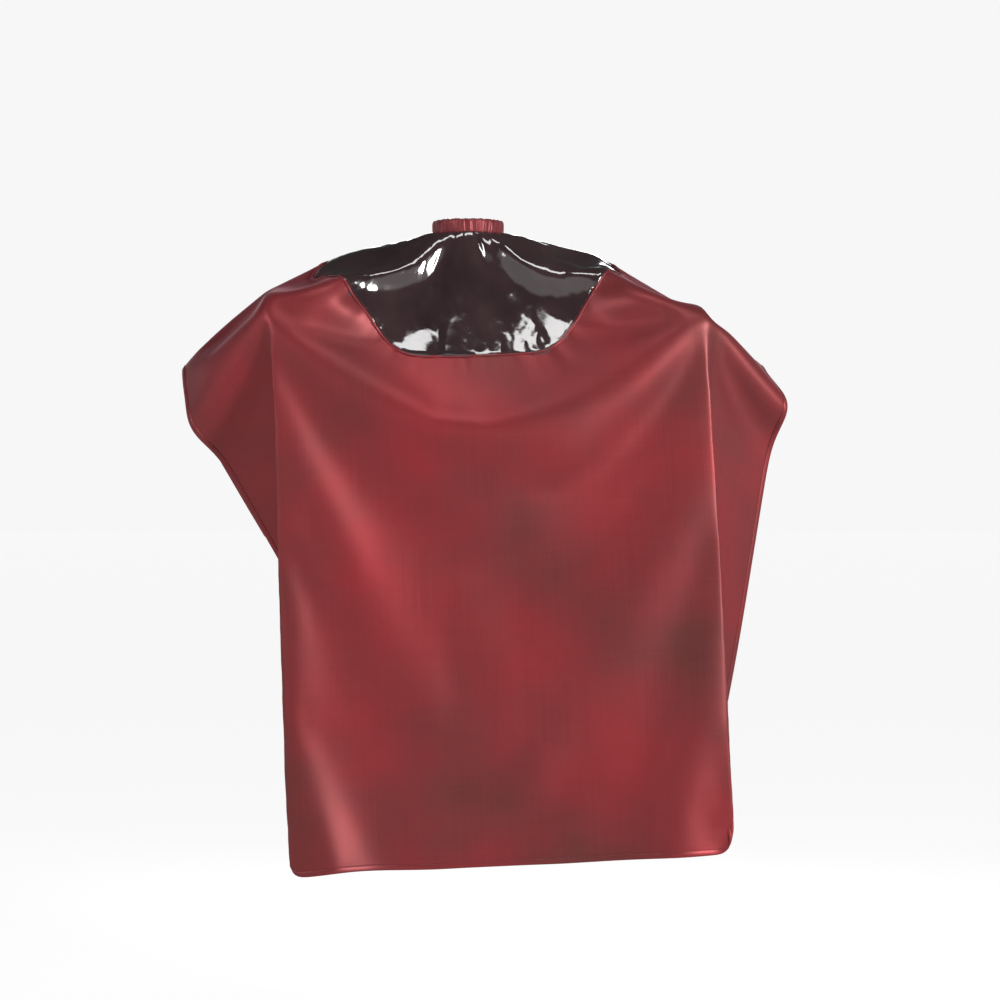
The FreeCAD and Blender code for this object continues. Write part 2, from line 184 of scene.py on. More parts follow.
def wearer():
    """A plain hidden form with its arms held out, for the cloth to fall on."""
    limbs = [
        ((0, 0.01, 0.10), (0, 0.01, -0.10), 0.050, 0.056),
        ((0, 0, -0.20), (0, 0, -0.50), 0.10, 0.10),
        ((-0.06, 0.01, -0.62), (0.06, 0.01, -0.62), 0.115, 0.115),
    ]
    for side in (-1, 1):
        limbs += [
            ((0, 0.02, -0.072), (side * 0.20, 0.01, -0.090), 0.060, 0.046),
            ((side * 0.10, 0, -0.15), (side * 0.10, 0, -0.35), 0.075, 0.075),
            ((side * 0.085, -0.085, -0.27), (side * 0.085, -0.06, -0.27), 0.055, 0.06),
        ]
    arms = [
        [((-0.20, 0.01, -0.095), 0.045), ((-0.33, 0.01, -0.143), 0.036),
         ((-0.470, 0.0, -0.262), 0.026), ((-0.29, -0.13, -0.165), 0.028)],
        [((0.20, 0.01, -0.095), 0.045), ((0.36, 0.01, -0.172), 0.036),
         ((0.495, -0.01, -0.272), 0.028), ((0.37, -0.16, -0.185), 0.028)],
    ]
    for arm in arms:
        limbs += [(a, b, wide, narrow) for (a, wide), (b, narrow) in zip(arm, arm[1:])]
    made = [capsule(*limb) for limb in limbs]
    form = made[0]
    with bpy.context.temp_override(active_object=form, selected_editable_objects=made):
        bpy.ops.object.join()
    blend = form.modifiers.new("blend", "REMESH")
    blend.mode = "VOXEL"
    blend.voxel_size = 0.012
    soften = form.modifiers.new("soften", "SMOOTH")
    soften.iterations = 6
    apply_modifiers(form)
    form.modifiers.new("collision", "COLLISION")
    form.collision.thickness_outer = 0.004
    form.collision.cloth_friction = 2
    return form


def evenly(a, b, step):
    """Points from a up to, and not including, b."""
    count = max(1, round(math.dist(a, b) / step))
    return [tuple(Vector(a).lerp(Vector(b), i / count)) for i in range(count)]


def flat_cut(step):
    """The cut as a triangle mesh: a rectangle with a round neck hole and a slit to the back hem."""
    shoulder = math.sqrt(NECK_CUT**2 - SLIT**2)
    corners = [
        (SLIT, shoulder), (SLIT, CUT_BACK), (CUT_RIGHT, CUT_BACK), (CUT_RIGHT, CUT_FRONT),
        (CUT_LEFT, CUT_FRONT), (CUT_LEFT, CUT_BACK), (-SLIT, CUT_BACK), (-SLIT, shoulder),
    ]
    outline = []
    for a, b in zip(corners, corners[1:]):
        outline += evenly(a, b, step)
    first = math.atan2(shoulder, -SLIT)
    steps = round(2 * math.pi * NECK_CUT / step * 1.3)
    sweep = 2 * math.pi - 2 * (first - BACK)
    outline += [
        (NECK_CUT * math.cos(first + sweep * i / steps), NECK_CUT * math.sin(first + sweep * i / steps))
        for i in range(steps)
    ]
    edges = [(i, (i + 1) % len(outline)) for i in range(len(outline))]
    border = np.array(outline)
    row_gap = step * math.sqrt(3) / 2
    shuffle = np.random.default_rng(1)
    inner = []
    for row in range(1, int((CUT_BACK - CUT_FRONT) / row_gap)):
        first_x = CUT_LEFT + step * (0.75 if row % 2 else 0.25)
        across = np.arange(first_x, CUT_RIGHT - 0.2 * step, step)
        inner.append(np.column_stack([across, np.full(len(across), CUT_FRONT + row * row_gap)]))
    inner = np.concatenate(inner)
    jitter = 0.08 * step
    inner += shuffle.uniform(-jitter, jitter, inner.shape)
    keep = np.hypot(inner[:, 0], inner[:, 1]) > NECK_CUT + 0.4 * step
    for point in border:
        keep &= ((inner - point) ** 2).sum(1) > (0.6 * step) ** 2
    points = [Vector(p) for p in outline] + [Vector(p) for p in inner[keep]]
    made = geometry.delaunay_2d_cdt(points, edges, [list(range(len(outline)))], 1, 1e-6)
    return np.array([tuple(p) for p in made[0]]), [list(f) for f in made[2]]


def shoulder_turn(left, front):
    """How the cloth goes over the shoulder at this side's kink."""
    if front:
        return FRONT_LEFT if left else FRONT_RIGHT
    return BACK_LEFT if left else BACK_RIGHT


def profile(u, s, front):
    """Depth and height of the cloth at s along its way down from the ridge."""
    left = u < 0
    kink = -LEFT_KINK if left else RIGHT_KINK
    share = float(smoothstep(NECK_CUT, kink, abs(u)))
    middle = FRONT_MIDDLE if front else BACK_MIDDLE
    edge = shoulder_turn(left, front)
    back, turn, half, before, after = (m + share * (e - m) for m, e in zip(middle, edge))
    ridge = YOKE_TOP - RIDGE_SLOPE * max(0.0, min(abs(u), kink) - NECK_CUT)
    if front:
        low, high = math.sin(math.radians(before)), math.sin(math.radians(after))
        hem = HEM_HEIGHT - (LEFT_DROP * float(smoothstep(0.2, kink, abs(u))) if left else 0.0)
        turn = (hem - ridge - CUT_FRONT * high) / (high - low) + half * TURN_SLACK
    steps = 160
    way = np.linspace(0.0, s, steps + 1)
    slope = np.radians(before + (after - before) * smoothstep(turn - half, turn + half, way))
    middle_way = (slope[1:] + slope[:-1]) / 2
    step = s / steps
    ahead, down = np.cos(middle_way).sum() * step, np.sin(middle_way).sum() * step
    return back + (-ahead if front else ahead), ridge - down


def on_neck_edge(u, v):
    return math.hypot(u, v) < NECK_CUT + 0.001


def soft_fold(u, v):
    """How far the soft folds bring this point forward."""
    total = 0.0
    for start, end, wide, high in SOFT_FOLDS:
        line, place = Vector(end) - Vector(start), Vector((u, v)) - Vector(start)
        along = place.dot(line) / line.length_squared
        off = (place - along * line).length
        ends = float(smoothstep(-0.1, 0.25, along) * smoothstep(1.1, 0.8, along))
        total += high * math.exp(-((off / wide) ** 2)) * ends
    return total


def wing_place(u, v, kink, wing, x, y, z):
    """Where a point beyond its kink is: out from x, y, z on the kink, and down round the wing's cone."""
    left, front = u < 0, v < 0
    side = -1 if left else 1
    out_front, out_back, fall = wing
    out = abs(u) - kink
    share = float(smoothstep(-0.2, 0.1, v))
    along = [a + share * (b - a) for a, b in zip(out_front, out_back)]
    top = shoulder_turn(left, front)[1]
    down = max(0.0, abs(v) - top)
    if down == 0.0:
        return x + side * along[0] * out, y + along[1] * out, z + along[2] * out
    angle = math.atan2(-fall[0], -fall[2])
    far, turn = math.hypot(out, down), math.atan2(out, down)
    x = side * (NECK_CUT + (kink - NECK_CUT) * TOP_WIDTH)
    y, z = profile(side * kink, top, front)
    plane = [o * out + d * down for o, d in zip(along, fall)]
    if turn < angle / 2:
        edge = [math.sin(angle / 2) * o + math.cos(angle / 2) * d for o, d in zip(along, fall)]
        mix = turn / (angle / 2)
        low = profile(side * kink, top + far, front)
        hang = (0.0, low[0] - y, low[1] - z)
        plane = [(1 - mix) * h + mix * far * e for h, e in zip(hang, edge)]
    lift = 1 - WING_LIFT * float(smoothstep(0.4, 0.9, down))
    return x + side * plane[0], y + plane[1], z + plane[2] * lift


def start_place(u, v):
    """Where a point of the cut is when the cloth is laid over the shoulders."""
    side, kink, wing = (-1, -LEFT_KINK, LEFT_WING) if u < 0 else (1, RIGHT_KINK, RIGHT_WING)
    front, s = v < 0, abs(v)
    if on_neck_edge(u, v):
        return u, v, YOKE_TOP
    inner = min(abs(u), kink)
    share = TOP_WIDTH + (HEM_SHARE - TOP_WIDTH) * float(smoothstep(0.2, 0.8, s if front else 0.0))
    x = side * (inner if inner < NECK_CUT else NECK_CUT + (inner - NECK_CUT) * share)
    y, z = profile(side * inner, s, front)
    if front and abs(u) < kink:
        y -= soft_fold(u, v)
    if abs(u) > kink:
        x, y, z = wing_place(u, v, kink, wing, x, y, z)
    if front:
        turned = float(smoothstep(0.05, 0.35, -z)) * PANEL_TURN
        x, z = x * math.cos(turned) - z * math.sin(turned), z * math.cos(turned) + x * math.sin(turned)
    return x, y, z


def held(u, v):
    """How firmly a point is held where it starts: 1 where sewn or folded over, less on the hanging cloth."""
    if on_neck_edge(u, v):
        return 1.0
    if v > -HOLD_FROM:
        return 0.0
    if min(abs(u - LEFT_KINK), abs(u - RIGHT_KINK)) < CELL * 0.5:
        return 1.0
    if LEFT_KINK < u < RIGHT_KINK:
        return PANEL_HOLD * float(smoothstep(HOLD_WHOLE, 2 * HOLD_WHOLE, -v))
    return (LEFT_HOLD if u < 0 else RIGHT_HOLD) * float(smoothstep(HOLD_FROM, HOLD_WHOLE, -v))


def settle(sheet, flat):
    """Lets the laid sheet fall on the form. Returns its points."""
    form = wearer()
    sheet.shape_key_add(name="start")
    cut = sheet.shape_key_add(name="cut")
    for i, (u, v) in enumerate(flat):
        cut.data[i].co = (u, v, 0.0)
    cut.value = 0.0
    pins = sheet.vertex_groups.new(name="held")
    for i, (u, v) in enumerate(flat):
        pins.add([i], held(u, v), "REPLACE")
    fall = sheet.modifiers.new("fall", "CLOTH")
    fabric, touch = fall.settings, fall.collision_settings
    fabric.quality = 8
    fabric.mass = 0.15
    fabric.air_damping = 2.0
    fabric.tension_stiffness = fabric.compression_stiffness = 25
    fabric.shear_stiffness = 10
    fabric.bending_stiffness = 8
    fabric.tension_damping = fabric.compression_damping = fabric.shear_damping = 10
    fabric.bending_damping = 1.0
    fabric.rest_shape_key = cut
    fabric.vertex_group_mass = "held"
    fabric.pin_stiffness = 1.0
    touch.distance_min = 0.004
    touch.collision_quality = 3
    touch.use_self_collision = True
    touch.self_distance_min = 0.004
    fall.point_cache.frame_start, fall.point_cache.frame_end = 1, FRAMES
    scene.frame_start, scene.frame_end = 1, FRAMES
    for step in range(1, FRAMES + 1):
        scene.frame_set(step)
    graph = bpy.context.evaluated_depsgraph_get()
    final = bpy.data.meshes.new_from_object(sheet.evaluated_get(graph))
    posed = points_of(final)
    bpy.data.meshes.remove(final)
    bpy.data.objects.remove(form)
    scene.frame_set(1)
    return posed


def drape():
    """Returns its flat points, draped points and faces."""
    flat, faces = flat_cut(CELL)
    sheet = new_object("drape", [start_place(u, v) for u, v in flat], faces)
    posed = settle(sheet, flat)
    bpy.data.objects.remove(sheet)
    return flat, posed, np.array(faces)


class Surface:
    """The draped cloth as a smooth grid over the flat cut. Sewn pieces take their places from it."""

    def __init__(self, flat, posed, faces):
        self.us = np.concatenate([
            np.linspace(CUT_LEFT, -SLIT, round((-SLIT - CUT_LEFT) / GRID) + 1),
            np.linspace(SLIT, CUT_RIGHT, round((CUT_RIGHT - SLIT) / GRID) + 1),
        ])
        self.vs = np.linspace(CUT_FRONT, CUT_BACK, round((CUT_BACK - CUT_FRONT) / GRID) + 1)
        grid_u, grid_v = np.meshgrid(self.us, self.vs)
        self.hole = np.hypot(grid_u, grid_v) < NECK_CUT - 0.002
        self.slit_column = int(np.searchsorted(self.us, 0.0)) - 1
        self.points = self.on_cloth(flat, posed, faces, grid_u, grid_v)
        self.link_u = ~(self.hole[:, 1:] | self.hole[:, :-1])
        self.link_u[self.vs > 0, self.slit_column] = False
        self.link_v = ~(self.hole[1:] | self.hole[:-1])
        for _ in range(12):
            self.relax(0.6)
        self.normals = self.facing()

    def on_cloth(self, flat, posed, faces, grid_u, grid_v):
        """Places on the draped triangles, rounded by the slope at their corners."""
        corner = posed[faces]
        face_normal = np.cross(corner[:, 1] - corner[:, 0], corner[:, 2] - corner[:, 0])
        normal = np.zeros_like(posed)
        for i in range(3):
            np.add.at(normal, faces[:, i], face_normal)
        normal /= np.linalg.norm(normal, axis=1, keepdims=True) + 1e-12
        tree = BVHTree.FromPolygons([(u, v, 0.0) for u, v in flat], faces.tolist())
        where, index = [], []
        for u, v in zip(grid_u.ravel(), grid_v.ravel()):
            near, _, face, _ = tree.find_nearest((u, v, 0.0))
            where.append(near[:2])
            index.append(face)
        where, tri = np.array(where), faces[np.array(index)]
        a, b, c = flat[tri[:, 0]], flat[tri[:, 1]], flat[tri[:, 2]]
        whole = self.cross(b - a, c - a)
        share = np.stack([self.cross(b - where, c - where), self.cross(c - where, a - where),
                          self.cross(a - where, b - where)], 1) / whole[:, None]
        spot = (share[:, :, None] * posed[tri]).sum(1)
        lean = ((spot[:, None] - posed[tri]) * normal[tri]).sum(2, keepdims=True)
        rounded = (share[:, :, None] * (spot[:, None] - lean * normal[tri])).sum(1)
        return (0.3 * spot + 0.7 * rounded).reshape(*grid_u.shape, 3)

    @staticmethod
    def cross(a, b):
        return a[:, 0] * b[:, 1] - a[:, 1] * b[:, 0]

    def relax(self, share):
        """Moves grid points this share of the way to the middle of their neighbours on each line."""
        total, count = np.zeros_like(self.points), np.zeros(self.points.shape[:2])
        before, after = np.diff(self.us)[:-1, None], np.diff(self.us)[1:, None]
        both = self.link_u[:, 1:] & self.link_u[:, :-1]
        middle = (after * self.points[:, :-2] + before * self.points[:, 2:]) / (before + after)
        total[:, 1:-1] += both[..., None] * (middle - self.points[:, 1:-1])
        count[:, 1:-1] += both
        both = self.link_v[1:] & self.link_v[:-1]
        middle = (self.points[:-2] + self.points[2:]) / 2
        total[1:-1] += both[..., None] * (middle - self.points[1:-1])
        count[1:-1] += both
        self.points = self.points + share * total / np.maximum(count, 1)[..., None]

    def facing(self):
        """Unit normals at the grid's points."""
        along = []
        links = (self.link_u, np.s_[:, :-1], np.s_[:, 1:]), (self.link_v, np.s_[:-1], np.s_[1:])
        for link, low, high in links:
            step = link[..., None] * (self.points[high] - self.points[low])
            total = np.zeros_like(self.points)
            total[low] += step
            total[high] += step
            along.append(total)
        normal = np.cross(along[0], along[1])
        return normal / (np.linalg.norm(normal, axis=2, keepdims=True) + 1e-12)

    def at(self, u, v, lift=0.0):
        """Places, in the frame, of points of the flat cut, raised off the cloth by lift."""
        u, v = np.asarray(u, float), np.asarray(v, float)
        column = np.clip(np.searchsorted(self.us, u) - 1, 0, len(self.us) - 2)
        shut = (column == self.slit_column) & (v > 0)
        column = np.where(shut, np.where(u < 0, column - 1, column + 1), column)
        row = np.clip(np.searchsorted(self.vs, v) - 1, 0, len(self.vs) - 2)
        a = (u - self.us[column]) / (self.us[column + 1] - self.us[column])
        b = (v - self.vs[row]) / (self.vs[row + 1] - self.vs[row])
        a, b = np.clip(a, -1, 2)[..., None], np.clip(b, -1, 2)[..., None]

        def mixed(values):
            low = (1 - a) * values[row, column] + a * values[row, column + 1]
            high = (1 - a) * values[row + 1, column] + a * values[row + 1, column + 1]
            return (1 - b) * low + b * high

        normal = mixed(self.normals)
        normal /= np.linalg.norm(normal, axis=-1, keepdims=True) + 1e-12
        return mixed(self.points) + np.asarray(lift)[..., None] * normal


# ---------------------------------------------------------------- yoke outline


def yoke_edge(turn):
    """How far the yoke's seam is from the neck's centre in the flat cut, its corners rounded."""
    turn = np.asarray(turn, float)
    total = np.zeros_like(turn)
    for (au, av), (bu, bv) in zip(YOKE_CUT[1:], YOKE_CUT[2:-1]):
        side = Vector((au, av)) - Vector((bu, bv))
        out = Vector((-side.y, side.x)).normalized()
        gap = out.dot(Vector((au, av)))
        facing = (out.x * np.cos(turn) + out.y * np.sin(turn)) / gap
        total += np.maximum(facing, 0.0) ** CORNER_SHARPNESS
    back = np.sin(turn) / YOKE_CUT[0][1]
    total += np.maximum(back, 0.0) ** CORNER_SHARPNESS
    return total ** (-1 / CORNER_SHARPNESS)


def from_seam(u, v):
    """How far outside the yoke's seam a point of the flat cut is."""
    return np.hypot(u, v) - yoke_edge(np.arctan2(v, u))


def turns(count):
    """Angles once round the neck, from one side of the slit to the other."""
    return np.linspace(BACK, BACK + 2 * math.pi, count + 1)


def on_cut(turn, far):
    """A point of the flat cut at this angle and distance, kept on its own side of the slit."""
    turn = np.asarray(turn, float)
    u, v = far * np.cos(turn), far * np.sin(turn)
    behind = v > 0
    left = turn < BACK + math.pi
    u = np.where(behind & left, np.minimum(u, -SLIT), np.where(behind & ~left, np.maximum(u, SLIT), u))
    return u, v


def wave(turn, far, around, along, seed):
    """Smooth noise from -1 to 1 over angles and distances."""
    flat = np.broadcast(turn, far)
    turn, far = np.broadcast_to(turn, flat.shape).ravel(), np.broadcast_to(far, flat.shape).ravel()
    found = [
        noise.noise(Vector((around * math.cos(a), around * math.sin(a), along * d + seed)))
        for a, d in zip(turn, far)
    ]
    return 2 * np.array(found).reshape(flat.shape)


def seam_pucker(turn, seed):
    """Height, from -1 to 1, of the small gathers where the seam's thread draws the cloth in."""
    edge = np.zeros_like(turn)
    return wave(turn, edge, 11.0, 0.0, seed) + 0.5 * wave(turn, edge, 25.0, 0.0, seed + 7)


# ---------------------------------------------------------------- meshes


def grid_faces(rows, columns, closed=False):
    """Quads between rows of points; closed joins the last column to the first."""
    count = columns if closed else columns - 1
    faces = []
    for i in range(rows - 1):
        for j in range(count):
            k = (j + 1) % columns
            faces.append((i * columns + j, i * columns + k, (i + 1) * columns + k, (i + 1) * columns + j))
    return faces


def sleeve(name, lines):
    """A closed tube, capped at both ends, from the lines of points that run along it."""
    points = np.stack(lines, 1)
    count, ring = points.shape[:2]
    faces = grid_faces(count, ring, closed=True)
    faces += [tuple(range(ring))[::-1], tuple((count - 1) * ring + k for k in range(ring))]
    return new_object(name, points.reshape(-1, 3), faces)


def round_neck(turn, radius, height):
    """Points at these angles, radii and heights round the neck's axis."""
    return np.stack([radius * np.cos(turn), radius * np.sin(turn), height + 0 * turn], 1)


def with_flat(made, u, v):
    """Keeps each point's place in the flat cut, in metres, for the weave."""
    u, v = np.ravel(u), np.ravel(v)
    layer = made.data.uv_layers.new(name="flat")
    index = np.zeros(len(made.data.loops), int)
    made.data.loops.foreach_get("vertex_index", index)
    layer.data.foreach_set("uv", np.column_stack([u[index], v[index]]).ravel())


def smooth(made):
    made.data.shade_smooth()
    return made


def thicken(made, wall, middle=True):
    shell = made.modifiers.new("wall", "SOLIDIFY")
    shell.thickness = wall
    shell.offset = 0.0 if middle else -1.0
    apply_modifiers(made)


def subdivide(made):
    made.modifiers.new("fine", "SUBSURF").levels = 1
    apply_modifiers(made)


def flat_area(u, v, faces):
    """Area of these faces in the flat cut."""
    u, v, faces = np.ravel(u), np.ravel(v), np.array(faces)
    x, y = u[faces], v[faces]
    return abs((x * np.roll(y, -1, 1) - y * np.roll(x, -1, 1)).sum()) / 2


def body_sheet():
    """The nylon, all round the yoke and just under its edge."""
    u, v = np.meshgrid(cloth.us, cloth.vs)
    outside = from_seam(u, v)
    turn = np.arctan2(v, u)
    keep = outside > -SEAM_ALLOWANCE
    near = outside < 0.07
    lift = np.zeros_like(u)
    fade = np.exp(-np.maximum(outside[near], 0) / PUCKER_REACH)
    lift[near] = NYLON_PUCKER * fade * seam_pucker(turn[near], 3.0)
    points = cloth.points + lift[..., None] * cloth.normals
    columns = len(cloth.us)
    quads = []
    for i in range(len(cloth.vs) - 1):
        for j in range(columns - 1):
            if j == cloth.slit_column and cloth.vs[i + 1] > 0:
                continue
            if keep[i, j] and keep[i, j + 1] and keep[i + 1, j] and keep[i + 1, j + 1]:
                a = i * columns + j
                quads.append((a, a + 1, a + columns + 1, a + columns))
    used, compact = np.unique(np.array(quads), return_inverse=True)
    faces = compact.reshape(-1, 4)
    u, v = u.ravel()[used], v.ravel()[used]
    made = new_object("cape_body", points.reshape(-1, 3)[used], faces)
    with_flat(made, u, v)
    area = flat_area(u, v, faces)
    thicken(made, NYLON_WALL)
    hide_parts("body_front", "body_left_side", "body_right_side", "body_back_left", "body_back_right")
    return smooth(made), area


def yoke_sheet():
    """The vinyl, gathered at the neck, creased where it hangs and puckered along its seam."""
    around, out = 256, 36
    turn = turns(around)
    share = np.linspace(0, 1, out + 1)[:, None] ** 0.9
    edge = yoke_edge(turn)
    far = NECK_CUT + share * (edge - NECK_CUT)
    u, v = on_cut(turn[None, :], far)
    points = cloth.at(u, v, VINYL_LIFT)
    ring = round_neck(turn, BAND_RADIUS, YOKE_TOP)
    hug = (1 - smoothstep(0.0, 0.06, share))[..., None]
    points = (1 - hug) * points + hug * ring[None]
    faces = grid_faces(out + 1, around + 1)
    made = new_object("cape_yoke", points.reshape(-1, 3), faces)
    with_flat(made, u, v)
    area = flat_area(u, v, faces)
    subdivide(made)
    crease(made)
    thicken(made, VINYL_WALL, middle=False)
    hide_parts("yoke_front", "yoke_back_left", "yoke_back_right")
    return smooth(made), area


def crease(made):
    """Raises the vinyl's folds: gathers from the neck, long soft creases, and puckers at the seam."""
    mesh = made.data
    count = len(mesh.vertices)
    index = np.zeros(len(mesh.loops), int)
    mesh.loops.foreach_get("vertex_index", index)
    uv = np.zeros(len(mesh.loops) * 2)
    mesh.uv_layers["flat"].data.foreach_get("uv", uv)
    flat = np.zeros((count, 2))
    flat[index] = uv.reshape(-1, 2)
    turn, far = np.arctan2(flat[:, 1], flat[:, 0]), np.hypot(flat[:, 0], flat[:, 1])
    inside = yoke_edge(turn) - far
    from_neck = far - NECK_CUT
    gather = wave(turn, from_neck, 7.0, 3.0, 1.0) * np.exp(-from_neck / 0.06)
    long_fold = wave(turn, from_neck, 4.5, 4.0, 5.0) * smoothstep(0.0, 0.05, from_neck)
    crumple = np.array([
        noise.ridged_multi_fractal(Vector((19 * a, 9 * b, 2.0)), 1.0, 2.2, 3, 1.0, 2.0) for a, b in flat
    ])
    crumple -= crumple.mean()
    pucker = seam_pucker(turn, 9.0) * np.exp(-inside / PUCKER_REACH)
    height = GATHER * gather + LONG_FOLD * long_fold + CRUMPLE * crumple + VINYL_PUCKER * pucker
    height *= smoothstep(0.0, 0.012, from_neck) * (0.25 + 0.75 * smoothstep(0.0, 0.006, inside))
    normals = np.zeros(count * 3)
    mesh.vertex_normals.foreach_get("vector", normals)
    moved = points_of(mesh) + height[:, None] * normals.reshape(-1, 3)
    mesh.vertices.foreach_set("co", moved.ravel())
    mesh.update()


def strip(name, u, v, across, section, *replaced):
    """A band of cloth along a path in the flat cut. across is inward at each point of the path,
    and section lists (how far inward, how high) round the band."""
    flat_u = [u + across[:, 0] * inset for inset, _ in section]
    flat_v = [v + across[:, 1] * inset for inset, _ in section]
    lines = [cloth.at(a, b, lift) for a, b, (_, lift) in zip(flat_u, flat_v, section)]
    made = sleeve(name, lines)
    with_flat(made, np.stack(flat_u, 1), np.stack(flat_v, 1))
    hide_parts(*replaced)
    return smooth(made)


def hem_path():
    """The cut's edge from the yoke round to the yoke, with the inward direction at each point."""
    top = YOKE_CUT[0][1]
    corners = [
        (-SLIT, top), (-SLIT, CUT_BACK), (CUT_LEFT, CUT_BACK), (CUT_LEFT, CUT_FRONT),
        (CUT_RIGHT, CUT_FRONT), (CUT_RIGHT, CUT_BACK), (SLIT, CUT_BACK), (SLIT, top),
    ]
    inward = [(-1, 0), (0, -1), (1, 0), (0, 1), (-1, 0), (0, -1), (1, 0)]
    points, across = [], []
    for k, (a, b) in enumerate(zip(corners, corners[1:])):
        run = evenly(a, b, GRID)
        for i, point in enumerate(run):
            way = Vector(inward[k])
            if i == 0 and k:
                way += Vector(inward[k - 1])
            points.append(point)
            across.append(tuple(way))
    points.append(corners[-1])
    across.append(inward[-1])
    return np.array(points), np.array(across, float)


def hem():
    """The turned edge all round the nylon."""
    path, across = hem_path()
    high, inner = HEM_LIFT, HEM_WIDTH
    over = [(inner, NYLON_WALL / 2), (inner - 0.0008, high), (0.0012, high), (-0.0004, high * 0.6)]
    under = [(inset, -lift) for inset, lift in reversed(over)]
    return strip("cape_hem", path[:, 0], path[:, 1], across, [*over, (-0.0006, 0.0), *under],
                 "front_hem", "left_side_hem", "right_side_hem", "back_hem_left", "back_hem_right",
                 "back_placket_left", "back_placket_right")


def seam_path(count):
    """The yoke's seam in the flat cut, with the outward direction at each point."""
    turn = turns(count)
    u, v = on_cut(turn, yoke_edge(turn))
    along = np.gradient(np.stack([u, v], 1), axis=0)
    along /= np.linalg.norm(along, axis=1, keepdims=True)
    return turn, u, v, np.column_stack([along[:, 1], -along[:, 0]])


def seam_welt():
    """The nylon's folded edge, which stands a little proud over the vinyl's."""
    turn, u, v, out = seam_path(560)
    left, right = (turn - 2 * math.pi) / 0.022, (turn - math.pi) / 0.02
    corner = np.exp(-(left**2)) + 0.4 * np.exp(-(right**2))
    swell = 1 + 0.22 * seam_pucker(turn, 3.0) + 2.6 * corner
    half, high, steps = 0.0024, 0.0019, 8
    lines = []
    for step in range(steps + 1):
        tilt = math.pi * step / steps
        across = half * math.cos(tilt)
        lift = VINYL_LIFT * 0.4 + high * math.sin(tilt) * swell
        lines.append(cloth.at(u + out[:, 0] * across, v + out[:, 1] * across, lift))
    made = sleeve("yoke_seam_welt", lines)
    with_flat(made, np.repeat(u, steps + 1), np.repeat(v, steps + 1))
    return smooth(made)


def seam_tape():
    """The woven tape inside, behind the yoke's seam."""
    _, u, v, out = seam_path(300)
    half, low, high = 0.005, -0.0016, -0.0009
    section = [(-half, low), (-half, high), (0.0, high), (half, high), (half, low), (0.0, low)]
    return strip("yoke_seam_tape", u, v, out, section,
                 "yoke_seam_tape_front", "yoke_seam_tape_back_left", "yoke_seam_tape_back_right")


def stitches(name, points, outward, pitch, long, thick):
    """A row of lockstitches along a line of points."""
    step = np.linalg.norm(np.diff(points, axis=0), axis=1)
    run = np.concatenate([[0.0], np.cumsum(step)])
    starts = np.arange(pitch / 2, run[-1] - long, pitch)

    def along(values, at):
        return np.stack([np.interp(at, run, values[:, k]) for k in range(3)], 1)

    a, b = along(points, starts), along(points, starts + long)
    up = along(outward, starts + long / 2)
    way = (b - a) / (np.linalg.norm(b - a, axis=1, keepdims=True) + 1e-12)
    side = np.cross(way, up)
    sides = 5
    verts, faces = [], []
    for k in range(len(starts)):
        base = len(verts)
        verts.append(a[k])
        for at in (0.25, 0.75):
            centre = a[k] + (b[k] - a[k]) * at + up[k] * thick * 0.45
            for n in range(sides):
                turn = 2 * math.pi * n / sides
                verts.append(centre + thick / 2 * (math.cos(turn) * side[k] + math.sin(turn) * up[k]))
        verts.append(b[k])
        for n in range(sides):
            m = (n + 1) % sides
            faces.append((base, base + 1 + m, base + 1 + n))
            faces.append((base + 1 + n, base + 1 + m, base + 1 + sides + m, base + 1 + sides + n))
            faces.append((base + 1 + sides + n, base + 1 + sides + m, base + 1 + 2 * sides))
    return smooth(new_object(name, verts, faces))


def cloth_stitches(name, u, v, lift):
    """A row of stitches along a line in the flat cut."""
    pitch = 0.0032
    on, above = cloth.at(u, v, lift), cloth.at(u, v, lift + 0.001)
    return stitches(name, on, (above - on) / 0.001, pitch, pitch * 0.72, 0.0005)


# ---------------------------------------------------------------- neckband and tab


def loose(turn):
    """1 where elastic gathers the band, 0 where the snaps need it flat."""
    degrees = np.degrees(turn - BACK)
    return smoothstep(66, 84, degrees) * (1 - smoothstep(276, 294, degrees))


def ruche(turn, height, seed):
    """Fine upright gathers of the elastic band, very low where the snaps need it flat."""
    slow = wave(turn, height, 9.0, 18.0, seed)
    fine = wave(turn, height, 22.0, 40.0, seed + 4)
    return (0.7 * slow + 0.5 * fine) * (0.12 + 0.88 * loose(turn))


def bulge(turn, height):
    """How far the band swells out at a height from -1, its bottom, to 1, its top."""
    return (0.0004 + 0.0011 * loose(turn)) * (1 - height**4)


def band():
    """The gathered neckband: its outer face from the bottom up, then its lining down again."""
    around, up = 420, 12
    turn = turns(around)
    gap = 0.004
    turn = BACK + gap + (turn - BACK) * (1 - 2 * gap / (2 * math.pi))
    lines = []
    for i in range(up + 1):
        height = -1 + 2 * i / up
        gathers = 0.0011 * ruche(turn, height * BAND_HALF, 2.0) * (1 - 0.5 * height**2)
        out = BAND_RADIUS + bulge(turn, height) + gathers
        rise = height * BAND_HALF + 0.0009 * ruche(turn, 0 * turn, 6.0) * height**3
        lines.append(round_neck(turn, np.maximum(out, BAND_RADIUS - 0.0001), rise))
    for i in range(up + 1):
        height = 1 - 2 * i / up
        inner = NECK_RADIUS + 0.0002 * (1 - abs(height))
        rise = height * (BAND_HALF - 0.0006) + 0.0009 * ruche(turn, 0 * turn, 6.0) * height**3
        lines.append(round_neck(turn, inner, rise))
    made = sleeve("neckband_cloth", lines)
    length = np.repeat(turn * BAND_RADIUS, len(lines))
    height = np.tile(np.concatenate([np.linspace(-BAND_HALF, BAND_HALF, up + 1)] * 2), len(turn))
    with_flat(made, length, height)
    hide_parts("neckband_outer", "neckband_lining")
    return smooth(made)


